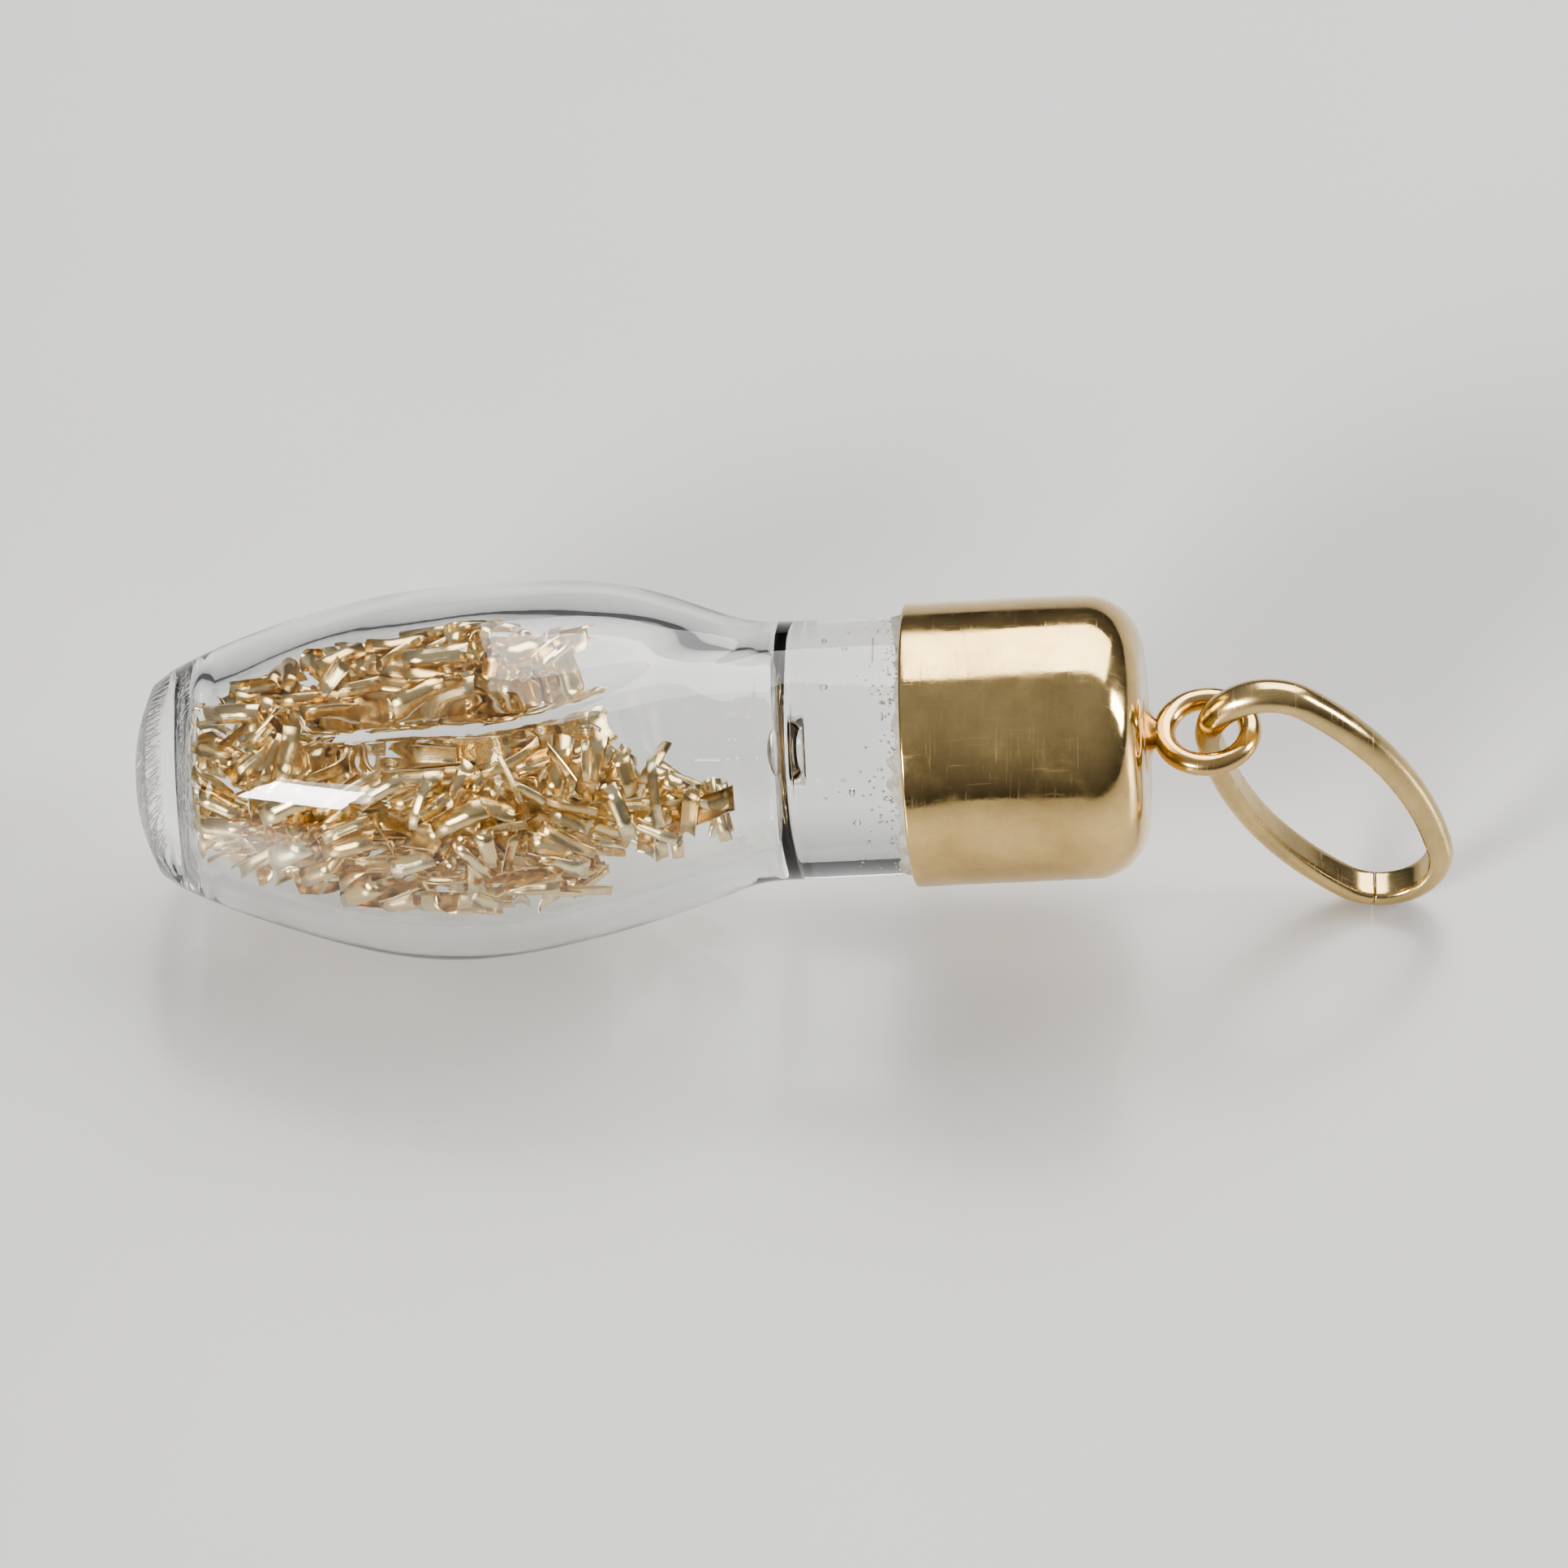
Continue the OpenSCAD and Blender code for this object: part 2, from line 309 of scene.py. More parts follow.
def gold_material(name, bright, deep, rough, wear):
    """Gold with tarnish in patches, smudges, and fine scratches; wear is how strong they all are."""
    nodes = Nodes(name)
    shader = nodes.shader
    shader.inputs["Metallic"].default_value = 1.0
    patches = nodes.ramp(nodes.noise(1.9, 5.0, 0.62), [(0.38, 0.0), (0.72, 1.0)])
    specks = nodes.ramp(nodes.noise(0.12, 4.0, 0.7), [(0.6, 0.0), (0.75, 1.0)])
    tone = nodes.mix(nodes.maths("MULTIPLY", patches, wear), bright, deep)
    dirt = tuple(0.55 * c for c in deep)
    speckled = nodes.mix(nodes.maths("MULTIPLY", specks, 0.35 * wear), tone, dirt)
    nodes.plug(speckled, shader, "Base Color")
    hairs = nodes.ramp(nodes.noise(1.0, 2.0, 0.5, (18, 1, 1)), [(0.62, 0.0), (0.68, 1.0)])
    crossing = nodes.noise(1.3, 2.0, 0.5, (1, 22, 1), (35, 20, 60))
    more_hairs = nodes.ramp(crossing, [(0.64, 0.0), (0.7, 1.0)])
    scratches = nodes.maths("MAXIMUM", hairs, more_hairs)
    smudges = nodes.ramp(nodes.noise(1.1, 5.0, 0.7), [(0.42, rough), (0.75, rough + 0.16 * wear)])
    rubbed = (rough + 0.2, rough + 0.2, rough + 0.2)
    nodes.plug(nodes.mix(nodes.maths("MULTIPLY", scratches, 0.6), smudges, rubbed), shader, "Roughness")
    waves = nodes.bump(nodes.noise(1.4, 2.0, 0.5), 0.012 * wear, 0.6)
    grain = nodes.bump(nodes.noise(0.09, 4.0, 0.6), 0.0012, wear, waves)
    nodes.plug(nodes.bump(scratches, 0.004, -0.8, grain), shader, "Normal")
    return nodes.material


def foil_material():
    """Bright foil whose tone differs from clipping to clipping, with rolling lines along each."""
    nodes = Nodes("gold_foil")
    shader = nodes.shader
    shader.inputs["Metallic"].default_value = 1.0
    tone = nodes.ramp(nodes.attribute("tone"),
                      [(0.0, (0.80, 0.56, 0.25)), (0.4, (0.93, 0.71, 0.37)), (1.0, (0.99, 0.84, 0.53))])
    stain = nodes.ramp(nodes.noise(0.5, 3.0, 0.6), [(0.55, 0.0), (0.85, 0.6)])
    nodes.plug(nodes.mix(stain, tone, (0.66, 0.42, 0.19)), shader, "Base Color")
    rough = nodes.ramp(nodes.noise(0.3, 3.0, 0.6), [(0.3, 0.06), (0.8, 0.18)])
    lines = nodes.add("ShaderNodeTexNoise", noise_dimensions="1D")
    lines.inputs["Scale"].default_value = 90.0
    lines.inputs["Detail"].default_value = 2.0
    nodes.plug(nodes.attribute("across"), lines, "W")
    nodes.plug(rough, shader, "Roughness")
    creases = nodes.bump(nodes.noise(0.3, 1.0, 0.5), 0.003, 0.6)
    nodes.plug(nodes.bump(lines.outputs["Fac"], 0.003, 0.8, creases), shader, "Normal")
    return nodes.material


def cement_material():
    nodes = Nodes("dried_cement")
    shader = nodes.shader
    patches = nodes.ramp(nodes.noise(0.3, 4.0, 0.65),
                         [(0.3, (0.42, 0.36, 0.28)), (0.7, (0.86, 0.84, 0.79))])
    nodes.plug(patches, shader, "Base Color")
    shader.inputs["Transmission Weight"].default_value = 0.45
    shader.inputs["IOR"].default_value = 1.45
    nodes.plug(nodes.ramp(nodes.noise(0.2), [(0.3, 0.35), (0.7, 0.7)]), shader, "Roughness")
    nodes.plug(nodes.bump(nodes.noise(0.1, 5.0, 0.7), 0.02), shader, "Normal")
    return nodes.material


def floor_material():
    nodes = Nodes("pale_floor")
    shader = nodes.shader
    tone = nodes.ramp(nodes.noise(60.0, 2.0, 0.5),
                      [(0.3, (0.50, 0.497, 0.49)), (0.7, (0.54, 0.537, 0.53))])
    nodes.plug(tone, shader, "Base Color")
    nodes.plug(nodes.ramp(nodes.noise(8.0), [(0.3, 0.2), (0.7, 0.26)]), shader, "Roughness")
    return nodes.material


# ---------------------------------------------------------------- glass vial
def bulb_shape():
    """The bulb's curve, the shoulder's curve and the angles between which each runs."""
    bulb_middle = (BULB_AT, BULB_R - BULB_CURVE)
    drop = NECK_R + SHOULDER_CURVE - bulb_middle[1]
    reach = math.sqrt((BULB_CURVE + SHOULDER_CURVE) ** 2 - drop ** 2)
    shoulder_middle = (BULB_AT + reach, NECK_R + SHOULDER_CURVE)
    shoulder_angle = math.degrees(math.atan2(reach, drop))
    edge_angle = math.degrees(math.asin((BULB_AT - BASE_EDGE) / BULB_CURVE))
    return bulb_middle, shoulder_middle, shoulder_angle, edge_angle


def glass_outline():
    bulb_middle, shoulder_middle, shoulder_angle, edge_angle = bulb_shape()
    edge_r = bulb_middle[1] + BULB_CURVE * math.cos(math.radians(edge_angle))
    dome_angle = math.degrees(math.asin(FOOT_R / BASE_CURVE))
    rim_angle = math.degrees(math.asin((edge_r - 0.35) / BASE_CURVE))
    dome_middle = (BASE_CURVE * math.cos(math.radians(dome_angle)), 0)
    outline = [(0, 0), (0, 0.4), (0, 0.8)]
    outline += arc(dome_middle, BASE_CURVE, dome_angle - 90, rim_angle - 90, 14)
    outline += arc(bulb_middle, BULB_CURVE, -edge_angle, shoulder_angle, 150)
    outline += arc(shoulder_middle, SHOULDER_CURVE, 180 + shoulder_angle, 180, 14)[1:]
    outline += [(u, NECK_R) for u in np.arange(NECK_START, NECK_END - 0.6, 0.35)]
    outline += arc((NECK_END - 0.4, NECK_R - 0.4), 0.4, 0, 90, 8)
    return outline


def cavity_radius(u):
    """One even wall inside the bulb, then a squarish end down to the bore."""
    u = np.asarray(u, float)
    wide_at = np.minimum(u, CLOSE_START)
    wide = BULB_R - BULB_CURVE + np.sqrt((BULB_CURVE - WALL) ** 2 - (wide_at - BULB_AT) ** 2)
    closing = np.clip((u - CLOSE_START) / (CLOSE_END - CLOSE_START), 0, 1)
    return BORE_R + (wide - BORE_R) * (1 - closing ** END_SHARPNESS) ** (1 / END_SHARPNESS)


def cavity_outline():
    """From the socket of the plug's nose back to the middle of the cavity's floor."""
    floor_at = CAVITY_FLOOR + FLOOR_EDGE
    floor_middle = (floor_at, float(cavity_radius(floor_at)) - FLOOR_EDGE)
    socket_end = CLOSE_END + 0.34
    outline = [(socket_end, 0), (socket_end, BORE_R - 0.05), (socket_end - 0.05, BORE_R)]
    closing = [CLOSE_START + (CLOSE_END - CLOSE_START) * math.sin(t) ** (2 / END_SHARPNESS)
               for t in np.linspace(math.pi / 2, 0, 36)]
    wide = list(np.arange(CLOSE_START - 0.15, floor_at + 0.1, -0.15))
    outline += [(u, float(cavity_radius(u))) for u in closing + wide]
    outline += arc(floor_middle, FLOOR_EDGE, 0, -90, 12)
    outline += [(CAVITY_FLOOR, 1.2), (CAVITY_FLOOR, 0.5), (CAVITY_FLOOR, 0)]
    return outline


def fold_turn(u):
    """How far the long fold lies above the bulb's front, as an angle about the axis."""
    return np.radians(11 + 36 * (np.clip(u - 9, 0, None) / 6.6) ** 2)


def fold_angle(u):
    elevation = math.radians(VIEW_ELEVATION)
    return math.pi + math.atan2(math.cos(elevation), math.sin(elevation)) - fold_turn(u)


def from_fold(u, angle):
    """Angle between a place and the fold, in radians."""
    return (angle - fold_angle(u) + math.pi) % (2 * math.pi) - math.pi


def fold_depth(u, angle):
    width = 0.27 + 0.3 * smooth_step(u, 10, 16)
    reach = from_fold(u, angle) * (BULB_R - 0.4)
    along = smooth_step(u, 3.4, 6.5) * (1 - smooth_step(u, 15, 17.5))
    return FOLD_DEPTH * along * np.exp(-0.5 * (reach / width) ** 2)


def swelling(u, angle):
    """The hand-blown bulb swells a little to its lower front, and on its upper back near the shoulder."""
    total = 0
    for height, start, at, length in SWELLINGS:
        turn = (angle - math.radians(start)) % (2 * math.pi)
        across = np.where(turn < math.pi / 2, np.sin(2 * turn) ** 2, 0)
        total = total + height * across * np.exp(-((u - at) / length) ** 2)
    return total


def bubbles(count, seed):
    """Small air bubbles in the neck's thick wall."""
    rng = np.random.RandomState(seed)
    balls = []
    for _ in range(count):
        r, out, turn = rng.uniform(0.025, 0.07), rng.uniform(1.4, 3.0), rng.uniform(0, 2 * math.pi)
        middle = (out * math.cos(turn), out * math.sin(turn), rng.uniform(18.0, 20.2))
        outline = [(r * math.cos(t), r * math.sin(t)) for t in np.linspace(0, math.pi, 9)]
        ball, ball_faces = turned([(a, max(b, 0)) for a, b in outline], 12)
        balls.append((ball * (1, 1, rng.uniform(1.0, 2.2)) + middle, ball_faces))
    return joined(balls)


def glass_vial(material):
    segments = 180
    outer, outer_faces = turned(glass_outline() + [(NECK_END, 0)], segments)
    inner, inner_faces = turned(cavity_outline(), segments)
    holes, hole_faces = bubbles(BUBBLES, 15)
    for verts, share in ((outer, 1.0), (inner, INNER_SHARE)):
        u, radius = verts[:, 2], np.hypot(verts[:, 0], verts[:, 1])
        angle = np.arctan2(verts[:, 1], verts[:, 0])
        grow = share * swelling(u, angle) * smooth_step(radius, 1.0, 3.0)
        if verts is outer:
            bulge = smooth_step(u, 1.2, 4.0) * (1 - smooth_step(u, 15, 17))
            grow -= fold_depth(u, angle) + 0.02 * bulge * (1 - ripple(verts, 7.0, 5))
        else:
            wave = smooth_step(radius, 0.7, 1.2) * (ripple(verts, 2.6, 9) + 1)
            grow += wave * (0.008 + 0.03 * smooth_step(u, 15.5, 16.5))
        scale = np.where(radius > 0.01, (radius + grow) / np.maximum(radius, 0.01), 1)
        verts[:, :2] *= scale[:, None]
    ground = 1 - smooth_step(outer[:, 2], 0.75, 1.0)
    verts, faces = joined([(outer, outer_faces), (inner, inner_faces), (holes, hole_faces)])
    piece = new_piece("glass_bulb", verts, faces, "pendant", "glass_vial", material)
    write_values(piece, "ground", np.concatenate([ground, np.zeros(len(inner) + len(holes))]))
    return piece


# ---------------------------------------------------------------- plug, cement, cap
def clear_plug(material):
    """The plug's nose and the start of its shank. The CAD's plug goes on to the neck's end.

    Here the neck is solid glass behind the nose.
    """
    r, nose_at, shank_end = BORE_R - 0.02, CLOSE_END - NOSE_OUT, CLOSE_END + 0.3
    outline = [(nose_at, 0)] + arc((nose_at + r, 0), r, -84, 0, 18)
    outline += [(shank_end - 0.05, r), (shank_end, r - 0.05), (shank_end, 0)]
    verts, faces = turned(outline, 96)
    return new_piece("plug_nose", verts, faces, "pendant", "clear_plug", material)


def crumbs(count, seed):
    """Flat specks of dried cement on the neck, thickest by the cap's mouth."""
    rng = np.random.RandomState(seed)
    rim_next = [(k, (k + 1) % 6) for k in range(6)]
    faces = [f for k, n in rim_next for f in ([0, 1 + k, 1 + n], [7, 1 + n, 1 + k])]
    specks = []
    for _ in range(count):
        back, turn = rng.exponential(0.34), math.radians(rng.choice([-60, -150, 90]) + rng.normal() * 50)
        size, height = rng.uniform(0.012, 0.05), rng.uniform(0.012, 0.03)
        around = np.linspace(0, 2 * math.pi, 6, endpoint=False) + rng.uniform(0, 1)
        wobble = size * rng.uniform(0.6, 1.3, 6)
        rim = [(NECK_R - 0.004, w * math.cos(t), w * math.sin(t)) for w, t in zip(wobble, around)]
        out, side, along = np.array([(NECK_R + height, 0, 0)] + rim + [(NECK_R - 0.008, 0, 0)]).T
        c, s = math.cos(turn), math.sin(turn)
        along = CAP_MOUTH - 0.02 - min(back, 1.9) + along
        specks.append((np.stack([c * out - s * side, s * out + c * side, along], 1), faces))
    return joined(specks)


def neck_cement(material):
    """The film under the cap, with a ragged bead on the neck in front of the rim, and crumbs."""
    inside, film, film_end = NECK_R + 0.006, CAP_R - CAP_WALL - 0.01, CAP_MOUTH + 4.0
    segments = 220
    around = np.linspace(0, 2 * math.pi, segments, endpoint=False)
    ring = np.stack([np.cos(around) * NECK_R, np.sin(around) * NECK_R, np.zeros(segments)], 1)
    reach = 0.17 + 0.13 * ripple(ring, 1.9, 3) + 0.09 * ripple(ring, 0.45, 4)
    reach = np.clip(reach, 0.02, 0.6)
    height = 0.07 + 0.03 * ripple(ring, 1.0, 8)
    rows = [(film_end, inside), (CAP_MOUTH - reach, inside)]
    for t in np.linspace(0, 1, 14):
        grain = 0.012 * ripple(ring + [0, 0, 3 * t], 0.35, 12)
        rise = np.clip(height * t ** 2 + grain * math.sin(math.pi * t), 0, 0.2)
        rows.append((CAP_MOUTH - reach * (1 - t), inside + 0.004 + rise))
    rows += [(CAP_MOUTH - 0.01, film - 0.01), (CAP_MOUTH + 0.02, film), (film_end, film)]
    verts, faces = turned([(0, 1.0)] * len(rows), segments)
    for row, (along, out) in enumerate(rows):
        here = slice(row * segments, (row + 1) * segments)
        verts[here, 0] = np.cos(around) * out
        verts[here, 1] = np.sin(around) * out
        verts[here, 2] = along
    verts, faces = joined([(verts, faces), crumbs(CRUMBS, 6)])
    return new_piece("cement_bead", verts, faces, "pendant", "neck_cement", material)


def cap(material):
    lip_r, segments = 0.085, 160
    middle = (CAP_END - CAP_CORNER, CAP_R - CAP_CORNER)
    lip = arc((CAP_MOUTH + lip_r, CAP_R - lip_r), lip_r, -90, 0, 8)
    wall = [(u, CAP_R) for u in np.linspace(CAP_MOUTH + 0.2, CAP_END - CAP_CORNER - 0.1, 24)]
    face = [(CAP_END, r) for r in np.linspace(CAP_R - CAP_CORNER - 0.1, 0.2, 10)] + [(CAP_END, 0)]
    inner = [(CAP_END - CAP_WALL, 0)] + arc(middle, CAP_CORNER - CAP_WALL, 90, 0, 12)
    inner += [(CAP_MOUTH + 0.02, CAP_R - CAP_WALL), (CAP_MOUTH, CAP_R - CAP_WALL + 0.02)]
    outer = lip + wall + arc(middle, CAP_CORNER, 0, 90, 24) + face
    verts, faces = turned(inner + outer, segments)
    radius = np.hypot(verts[:, 0], verts[:, 1])
    outside = np.arange(len(verts)) >= 1 + segments * (len(inner) - 1)
    dents = 0.012 * (ripple(verts, 3.2, 21) - 1.3) * outside
    scale = np.where(radius > 0.3, 1 + dents / np.maximum(radius, 0.3), 1)
    verts[:, :2] *= scale[:, None]
    return new_piece("cap_cup", verts, faces, "pendant", "cap", material)


# ---------------------------------------------------------------- eye, solder, ring
def swept(path, outs, sides, outline, closed):
    """Sweeps an outline [out, sideways] along a path, with one frame of two directions per station."""
    count = len(outline)
    verts = [p + o * w[0] + s * w[1] for p, o, s in zip(path, outs, sides) for w in outline]
    faces = []
    steps = len(path) if closed else len(path) - 1
    for i in range(steps):
        k = (i + 1) % len(path)
        for j in range(count):
            n = (j + 1) % count
            faces.append([i * count + j, k * count + j, k * count + n, i * count + n])
    if not closed:
        faces.append(list(range(count)))
        faces.append([(len(path) - 1) * count + j for j in reversed(range(count))])
    return np.array(verts), faces


def eye(material):
    turns = np.linspace(0, 2 * math.pi, 96, endpoint=False)
    outs = [np.array((0, math.sin(t), math.cos(t))) for t in turns]
    path = [np.array((0, 0, EYE_AT)) + EYE_R * o for o in outs]
    sides = [np.array((1.0, 0, 0))] * len(turns)
    wire = [(EYE_WIRE_R * math.cos(t), EYE_WIRE_R * math.sin(t))
            for t in np.linspace(0, 2 * math.pi, 28, endpoint=False)]
    verts, faces = swept(path, outs, sides, wire, True)
    verts += 0.006 * np.stack([ripple(verts, 1.1, s) for s in (31, 32, 33)], 1)
    return new_piece("eye_loop", verts, faces, "pendant", "eye", material)


def eye_solder(material):
    """A flared, slightly lumpy fillet from the cap's face up round the loop."""
    top = CAP_END + SOLDER_HEIGHT
    outline = [(CAP_END - 0.05, 0), (CAP_END - 0.05, SOLDER_R + SOLDER_FLARE)]
    outline += [(CAP_END + SOLDER_HEIGHT * t, SOLDER_R + SOLDER_FLARE * (1 - t) ** 3)
                for t in np.linspace(0, 1, 24)]
    outline += [(top + 0.05, 0.15), (top + 0.07, 0)]
    verts, faces = turned(outline, 64)
    lump = 1 + 0.06 * ripple(verts, 0.8, 41)
    verts[:, 0] *= lump
    verts[:, 1] *= lump * (1.05 + 0.5 * smooth_step(verts[:, 2], CAP_END + 0.1, top))
    return new_piece("solder_fillet", verts, faces, "pendant", "eye_solder", material)


def ring_outline():
    """A half-round wire: flat inside with eased corners, round outside."""
    half = RING_THICKNESS / 2
    flat_out = -half
    flat_angle = math.acos((RING_ROUND_R - RING_THICKNESS) / RING_ROUND_R)
    middle = half - RING_ROUND_R
    round_side = [(middle + RING_ROUND_R * math.cos(t), RING_ROUND_R * math.sin(t))
                  for t in np.linspace(-flat_angle + 0.22, flat_angle - 0.22, 24)]
    corner = RING_ROUND_R * math.sin(flat_angle)
    flat_side = [(flat_out + 0.03, corner * 0.97)]
    flat_side += [(flat_out, y) for y in np.linspace(corner * 0.86, -corner * 0.86, 7)]
    flat_side += [(flat_out + 0.03, -corner * 0.97)]
    return round_side + flat_side


def jump_ring(material):
    end_offset = RING_LENGTH - RING_END_R
    side_r = (end_offset ** 2 + RING_WIDTH ** 2 - RING_END_R ** 2) / (2 * (RING_WIDTH - RING_END_R))
    side_drop = side_r - RING_WIDTH
    side_limit = math.sin(math.atan2(end_offset, side_drop))
    eye_height = PIVOT.z / MM
    lean = math.asin((eye_height - RING_END_R - RING_THICKNESS / 2) / (2 * end_offset))
    long_way = np.array((math.cos(lean), 0, -math.sin(lean)))
    short_way = np.array((math.sin(lean), 0, math.cos(lean)))
    centre = np.array(PIVOT) / MM + long_way * end_offset
    gap = SEAM_GAP / (RING_END_R + RING_THICKNESS / 2)
    start = math.radians(SEAM_AT) + gap / 2
    path, outs = [], []
    for phi in start + (2 * math.pi - gap) * np.linspace(0, 1, 200):
        c, s = math.cos(phi), math.sin(phi)
        out = c * long_way + s * short_way
        if abs(c) > side_limit:
            middle, reach = long_way * math.copysign(end_offset, c), RING_END_R
        else:
            middle, reach = -short_way * math.copysign(side_drop, s), side_r
        path.append(centre + middle + reach * out)
        outs.append(out)
    sides = [np.array((0, 1.0, 0))] * len(path)
    verts, faces = swept(path, outs, sides, ring_outline(), False)
    place = Matrix.Scale(MM, 4)
    return new_piece("ring_wire", verts, faces, "ring", "jump_ring", material, place=place)


# ---------------------------------------------------------------- foil clippings
ARC_STEPS, LENGTH_STEPS, FOIL = 14, 4, 0.02
LENGTHS, RADII = (1.0, 1.85), (0.2, 0.32)
CURLED_DEGREES, OPEN_DEGREES = (150, 250), (80, 140)
# The least distance between two clippings' middle lines, and between one and the fold as it is seen
CLIPPING_GAP, FOLD_CLEARANCE = 0.4, 0.72
TRIES, PILE_SEED = 110000, 77
# One piece for each CAD node of clippings, and how far along the vial it reaches
GROUP_ENDS = {"base": 4.7, "lower": 6.3, "middle": 7.9, "upper": 9.5, "shoulder": 12.7, "neck": NECK_END}


def clipping(rng, length, radius, spread):
    """A curled strip as a thin closed shell about the z axis, with clean, slightly slanting cut ends."""
    turns = np.linspace(-spread / 2, spread / 2, ARC_STEPS)
    slants = rng.uniform(-0.3, 0.3, 2) * radius
    flare, bend, opening = rng.uniform(-0.1, 0.1), rng.uniform(-0.05, 0.05), rng.uniform(0, 0.5)
    grid = []
    for shell in (0, FOIL):
        for along in np.linspace(-1, 1, LENGTH_STEPS):
            slant = slants[0] if along < 0 else slants[1]
            for t in turns:
                r = radius * (1 + flare * along + opening * (t / spread) ** 2) - shell
                x = r * math.cos(t) - radius * 0.5 + bend * length * along ** 2
                z = along * length / 2 + slant * abs(along) * math.sin(t)
                grid.append((x, r * math.sin(t), z))
    return np.array(grid)


def clipping_faces():
    """Broad faces of the two sides first, then the faces round the cut edges."""
    def at(shell, i, j):
        return (shell * LENGTH_STEPS + i) * ARC_STEPS + j
    broad, edges = [], []
    for i in range(LENGTH_STEPS - 1):
        for j in range(ARC_STEPS - 1):
            broad.append([at(0, i, j), at(0, i, j + 1), at(0, i + 1, j + 1), at(0, i + 1, j)])
            broad.append([at(1, i, j), at(1, i + 1, j), at(1, i + 1, j + 1), at(1, i, j + 1)])
    for i in range(LENGTH_STEPS - 1):
        first, last = 0, ARC_STEPS - 1
        edges.append([at(0, i, first), at(0, i + 1, first), at(1, i + 1, first), at(1, i, first)])
        edges.append([at(0, i, last), at(1, i, last), at(1, i + 1, last), at(0, i + 1, last)])
    for j in range(ARC_STEPS - 1):
        bottom, top = 0, LENGTH_STEPS - 1
        edges.append([at(0, bottom, j), at(1, bottom, j), at(1, bottom, j + 1), at(0, bottom, j + 1)])
        edges.append([at(0, top, j), at(0, top, j + 1), at(1, top, j + 1), at(1, top, j)])
    return broad, edges


def turned_to(way, spin):
    """A rotation whose z axis is way, spun about it."""
    helper = np.array((0, 0, 1.0)) if abs(way[2]) < 0.9 else np.array((1.0, 0, 0))
    x = np.cross(helper, way)
    x /= np.linalg.norm(x)
    y = np.cross(way, x)
    c, s = math.cos(spin), math.sin(spin)
    return np.stack([c * x + s * y, -s * x + c * y, way], 1)


def pile_end(front_down):
    """How far along the vial the pile reaches, by how far a place is towards the lower front."""
    return 11.0 + 5.0 * np.exp(-((front_down - 1.2) / 1.15) ** 2)


def scatter(tries, seed):
    """Places clippings from the glass inwards, each some way from the earlier ones.

    Only their middle lines are kept apart, so wide neighbours can still cut into each other.
    Returns (middle, vertices, tone) for each.
    """
    rng = np.random.RandomState(seed)
    elevation = math.radians(VIEW_ELEVATION)
    front_down_way = np.array((math.cos(elevation), -math.sin(elevation), 0))
    u = rng.uniform(CAVITY_FLOOR + 0.3, 16.6, tries)
    angle, reach = rng.uniform(-math.pi, math.pi, tries), 4.0 * np.sqrt(rng.uniform(0.1, 1, tries))
    length, radius = rng.uniform(*LENGTHS, tries), rng.uniform(*RADII, tries)
    curled = rng.uniform(size=tries) < 0.6
    curls, opens = rng.uniform(*CURLED_DEGREES, tries), rng.uniform(*OPEN_DEGREES, tries)
    spread = np.radians(np.where(curled, curls, opens))
    outward = np.stack([np.cos(angle), np.sin(angle), np.zeros(tries)], 1)
    way = rng.normal(size=(tries, 3)) * (0.8, 0.8, 1.0)
    tangent = smooth_step(reach, 1.5, 3.2) * 0.85
    way -= (tangent * (way * outward).sum(1))[:, None] * outward
    way /= np.linalg.norm(way, axis=1)[:, None]
    spin, tone, thin = rng.uniform(0, 2 * math.pi, tries), rng.uniform(size=tries), rng.uniform(size=tries)
    middle = np.stack([reach * np.cos(angle), reach * np.sin(angle), u], 1)
    steps = np.linspace(-0.5, 0.5, 5)[None, :] * length[:, None]
    spine = middle[:, None, :] + steps[..., None] * way[:, None, :]
    spine_u = spine[..., 2]
    out = np.hypot(spine[..., 0], spine[..., 1]) + 0.6 * radius[:, None]
    inside = (out < cavity_radius(spine_u) - 0.04).all(1) & (spine_u.min(1) > CAVITY_FLOOR + 0.2)
    front_down = spine @ front_down_way
    ragged = 1.6 * (thin - 0.5)
    piled = (u < pile_end(front_down[:, 2]) + ragged) & ((u < 11.8) | (thin < 0.35))
    seen_fold = -(BULB_R - (spine_u - BULB_AT) ** 2 / (2 * BULB_CURVE)) * np.sin(fold_turn(spine_u))
    beside_fold = (spine_u > 4.6) & (spine_u < 16)
    on_fold = (beside_fold & (np.abs(front_down - seen_fold) < FOLD_CLEARANCE)).any(1)
    order = np.argsort(-reach + rng.uniform(0, 0.6, tries))
    centres, spines, kept = np.zeros((0, 3)), np.zeros((0, 5, 3)), []
    for i in order[(inside & piled & ~on_fold)[order]]:
        near = spines[((centres - middle[i]) ** 2).sum(1) < 1.9 ** 2]
        if len(near):
            gaps = ((near.reshape(-1, 1, 3) - spine[i][None]) ** 2).sum(2)
            if gaps.min() < CLIPPING_GAP ** 2:
                continue
        shape = clipping(rng, length[i], radius[i], spread[i])
        shape = shape @ turned_to(way[i], spin[i]).T + middle[i]
        room = cavity_radius(shape[:, 2]) - 0.035
        if (np.hypot(shape[:, 0], shape[:, 1]) > room).any() or shape[:, 2].min() < CAVITY_FLOOR + 0.08:
            continue
        centres, spines = np.vstack([centres, middle[i]]), np.concatenate([spines, spine[i][None]])
        kept.append((middle[i], shape, tone[i]))
    return kept


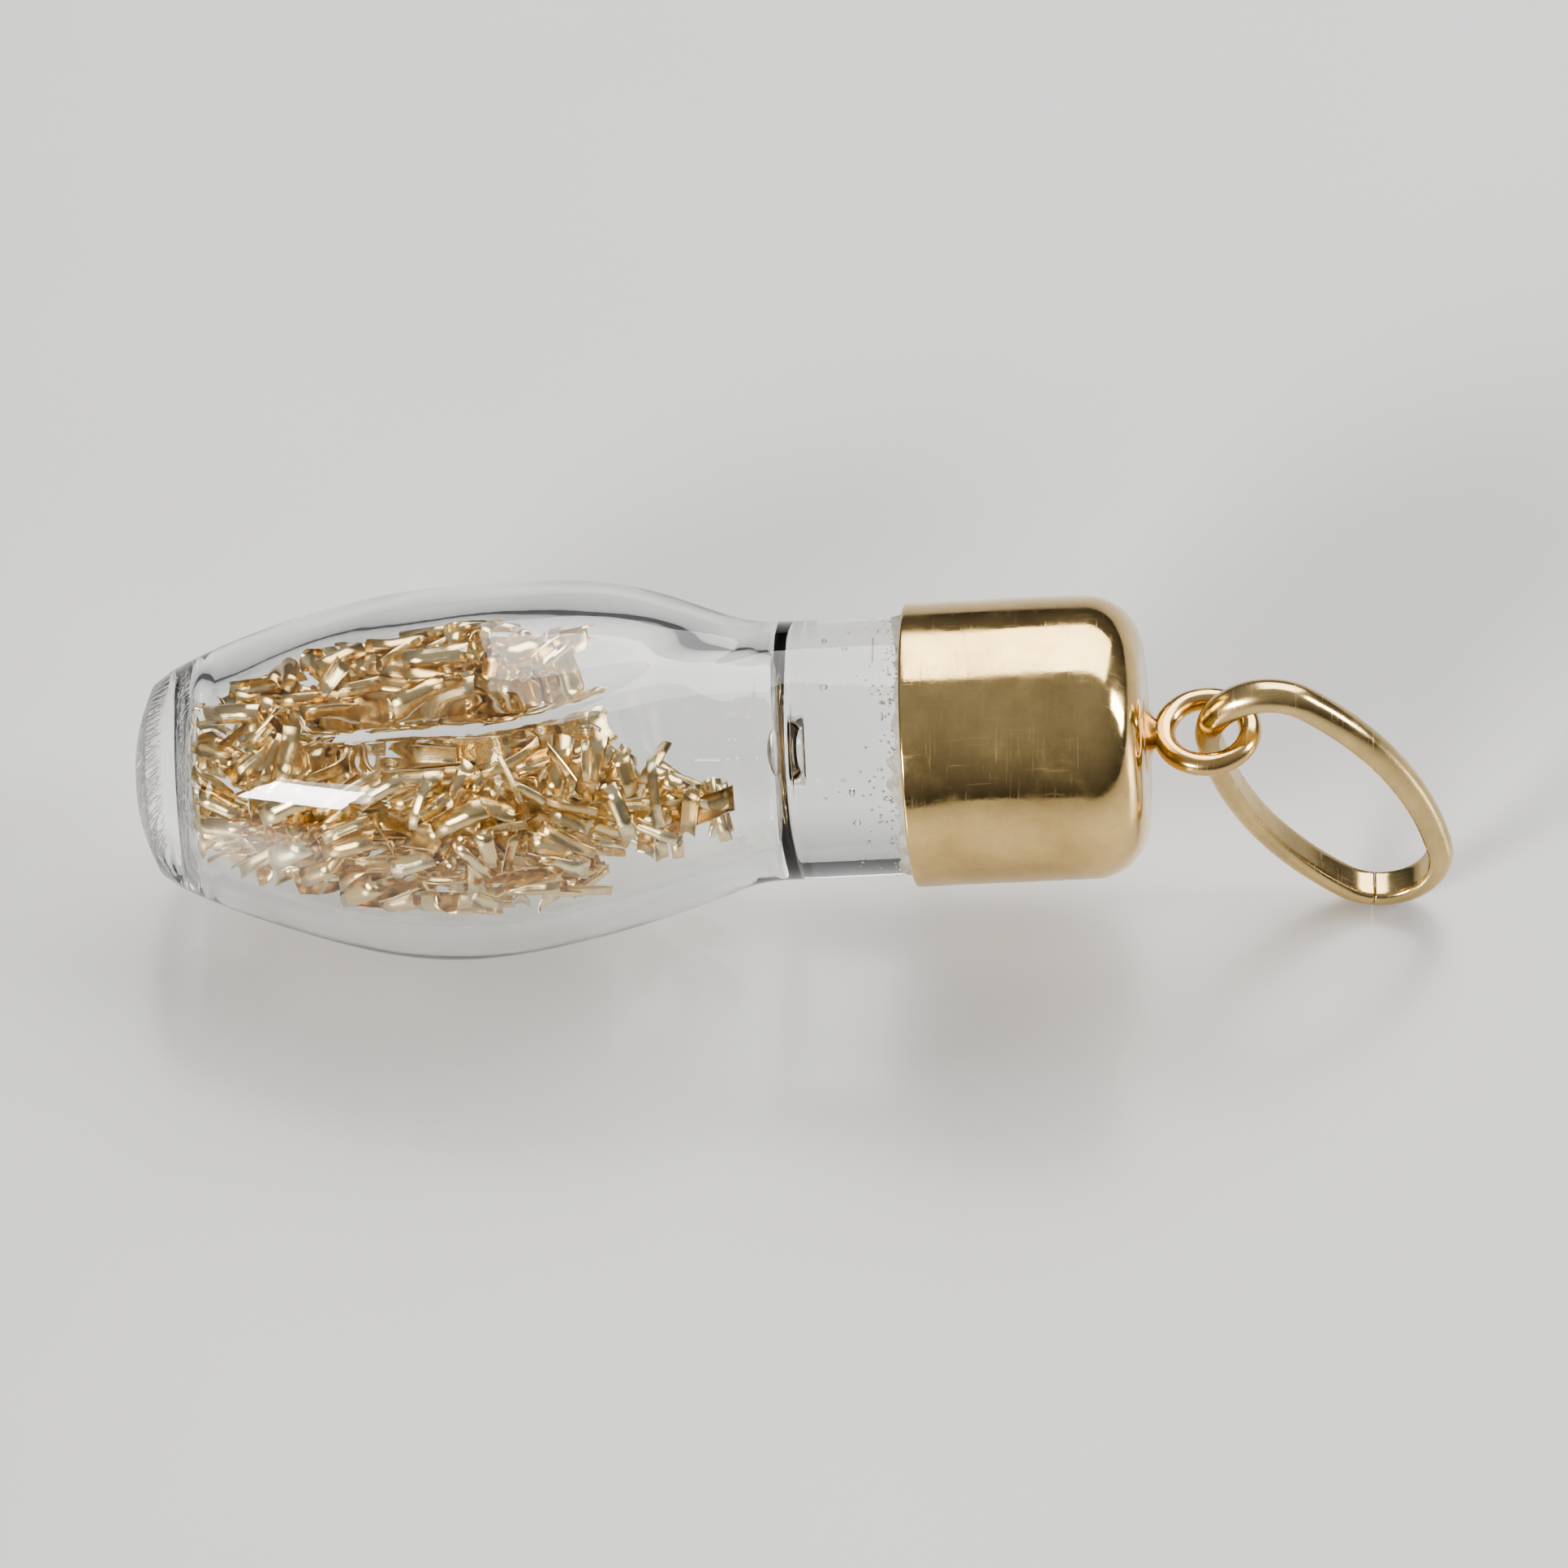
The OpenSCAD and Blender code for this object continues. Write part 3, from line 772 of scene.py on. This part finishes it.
def foil_clippings(material):
    """Sorts the clippings into pieces by how far along the vial each one lies."""
    broad, edges = clipping_faces()
    smooth_faces = [True] * len(broad) + [False] * len(edges)
    kept = scatter(TRIES, PILE_SEED)
    start = 0
    for name, end in GROUP_ENDS.items():
        members = [(shape, tone) for middle, shape, tone in kept if start <= middle[2] < end]
        start = end
        verts, faces = joined([(shape, broad + edges) for shape, _ in members])
        tones = np.repeat([tone for _, tone in members], 2 * LENGTH_STEPS * ARC_STEPS)
        steps = np.tile(np.arange(ARC_STEPS), 2 * LENGTH_STEPS * len(members))
        piece = new_piece(name + "_foil", verts, faces, "foil", name + "_clippings", material)
        piece.data.polygons.foreach_set("use_smooth", smooth_faces * len(members))
        write_values(piece, "tone", tones)
        write_values(piece, "across", tones * 5 + steps / ARC_STEPS)


# ---------------------------------------------------------------- stage, lights, camera
def floor():
    mesh = bpy.data.meshes.new("floor")
    corners = [(x * FLOOR_HALF, y * FLOOR_HALF, 0) for x, y in ((-1, -1), (1, -1), (1, 1), (-1, 1))]
    mesh.from_pydata(corners, [], [(0, 1, 2, 3)])
    mesh.materials.append(floor_material())
    plane = bpy.data.objects.new("floor", mesh)
    plane.location.z = -FLOOR_DROP
    bpy.context.scene.collection.objects.link(plane)


def soft_light(name, place, target, size, power, colour=(1, 1, 1)):
    light = bpy.data.lights.new(name, "AREA")
    light.shape = "RECTANGLE"
    light.size, light.size_y = size
    light.energy = power
    light.color = colour
    lamp = bpy.data.objects.new(name, light)
    lamp.location = place
    lamp.rotation_euler = (Vector(target) - Vector(place)).to_track_quat("-Z", "Y").to_euler()
    bpy.context.scene.collection.objects.link(lamp)


def world_light():
    world = bpy.data.worlds.new("studio")
    bpy.context.scene.world = world
    world.use_nodes = True
    nodes, links = world.node_tree.nodes, world.node_tree.links
    background = nodes["Background"]
    coordinates = nodes.new("ShaderNodeTexCoord")
    split = nodes.new("ShaderNodeSeparateXYZ")
    ramp = nodes.new("ShaderNodeValToRGB")
    ramp.color_ramp.elements[0].position = 0.0
    ramp.color_ramp.elements[0].color = (0.10, 0.10, 0.105, 1)
    ramp.color_ramp.elements[1].position = 0.9
    ramp.color_ramp.elements[1].color = (0.5, 0.51, 0.53, 1)
    links.new(coordinates.outputs["Generated"], split.inputs[0])
    links.new(split.outputs["Z"], ramp.inputs[0])
    links.new(ramp.outputs[0], background.inputs["Color"])
    background.inputs["Strength"].default_value = 0.62


def camera():
    """A long lens, aimed a little below the vial's shoulder."""
    elevation, azimuth = math.radians(VIEW_ELEVATION), math.radians(VIEW_AZIMUTH)
    away = Vector((math.sin(azimuth) * math.cos(elevation), -math.cos(azimuth) * math.cos(elevation),
                   math.sin(elevation)))
    up = Vector((0, math.sin(elevation), math.cos(elevation)))
    target = VIAL @ Vector((0, 0, AIM_ALONG)) - up * AIM_BELOW * MM
    lens = bpy.data.cameras.new("camera")
    lens.lens = CAMERA_LENS
    lens.sensor_width = 36
    lens.clip_start, lens.clip_end = 0.01, 10
    eye_point = bpy.data.objects.new("camera", lens)
    eye_point.location = target + away * CAMERA_DISTANCE
    eye_point.rotation_euler = (-away).to_track_quat("-Z", "Y").to_euler()
    bpy.context.scene.collection.objects.link(eye_point)
    bpy.context.scene.camera = eye_point


bpy.context.scene.view_settings.look = "AgX - Medium High Contrast"
camera()
floor()
world_light()
soft_light("overhead", (0.125, 0.24, 0.31), (0.125, 0, 0.005), (0.40, 0.34), 1.9, (1.0, 0.99, 0.97))
soft_light("front", (-0.25, -0.28, 0.16), (0, 0, 0.005), (0.13, 0.08), 2.2, (1.0, 0.98, 0.95))
soft_light("side", (0.36, 0.02, 0.16), (0, 0, 0.005), (0.08, 0.18), 0.8)

glass_vial(glass_material())
clear_plug(plug_material())
neck_cement(cement_material())
cap(gold_material("polished_gold", (0.86, 0.63, 0.29), (0.62, 0.43, 0.19), 0.075, 1.0))
eye(gold_material("eye_gold", (0.85, 0.60, 0.28), (0.66, 0.42, 0.18), 0.16, 0.9))
eye_solder(gold_material("solder_gold", (0.88, 0.68, 0.36), (0.66, 0.46, 0.22), 0.2, 1.0))
jump_ring(gold_material("ring_gold", (0.78, 0.58, 0.28), (0.52, 0.40, 0.20), 0.17, 1.0))
foil_clippings(foil_material())
